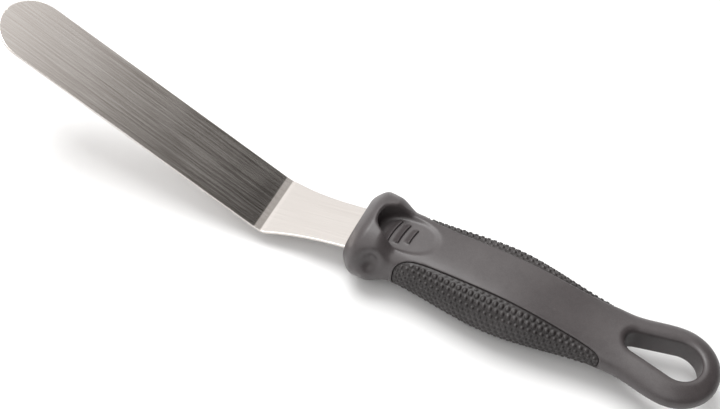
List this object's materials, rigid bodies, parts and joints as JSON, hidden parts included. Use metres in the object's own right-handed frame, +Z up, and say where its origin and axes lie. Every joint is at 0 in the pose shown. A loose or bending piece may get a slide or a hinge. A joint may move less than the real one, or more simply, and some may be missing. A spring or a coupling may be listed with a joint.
{
  "type": "offset spatula",
  "caption": "Offset spatula: flat round-tipped steel blade, bent neck, moulded handle with thumb rest, textured grips and hanging eye.",
  "frame": {"origin": "on the table under the middle of the bounding box, with the tool lying on the underside of its handle", "axes": "+X along the handle from the blade end to the hanging eye, +Y across the blade, +Z up"},
  "size_m": [0.271, 0.0326, 0.0462],
  "materials": {
    "blade_steel": "stainless, brushed along the blade",
    "handle_plastic": "dark grey moulded, satin",
    "core_plastic": "inner moulding, plain",
    "grip_rubber": "dark grey soft inlay with raised pebbles"
  },
  "bodies": {
    "root": {"blade": "blade_steel", "tang_core": "core_plastic", "handle_body": "handle_plastic", "grip_left": "grip_rubber", "grip_right": "grip_rubber"}
  },
  "joints": []
}
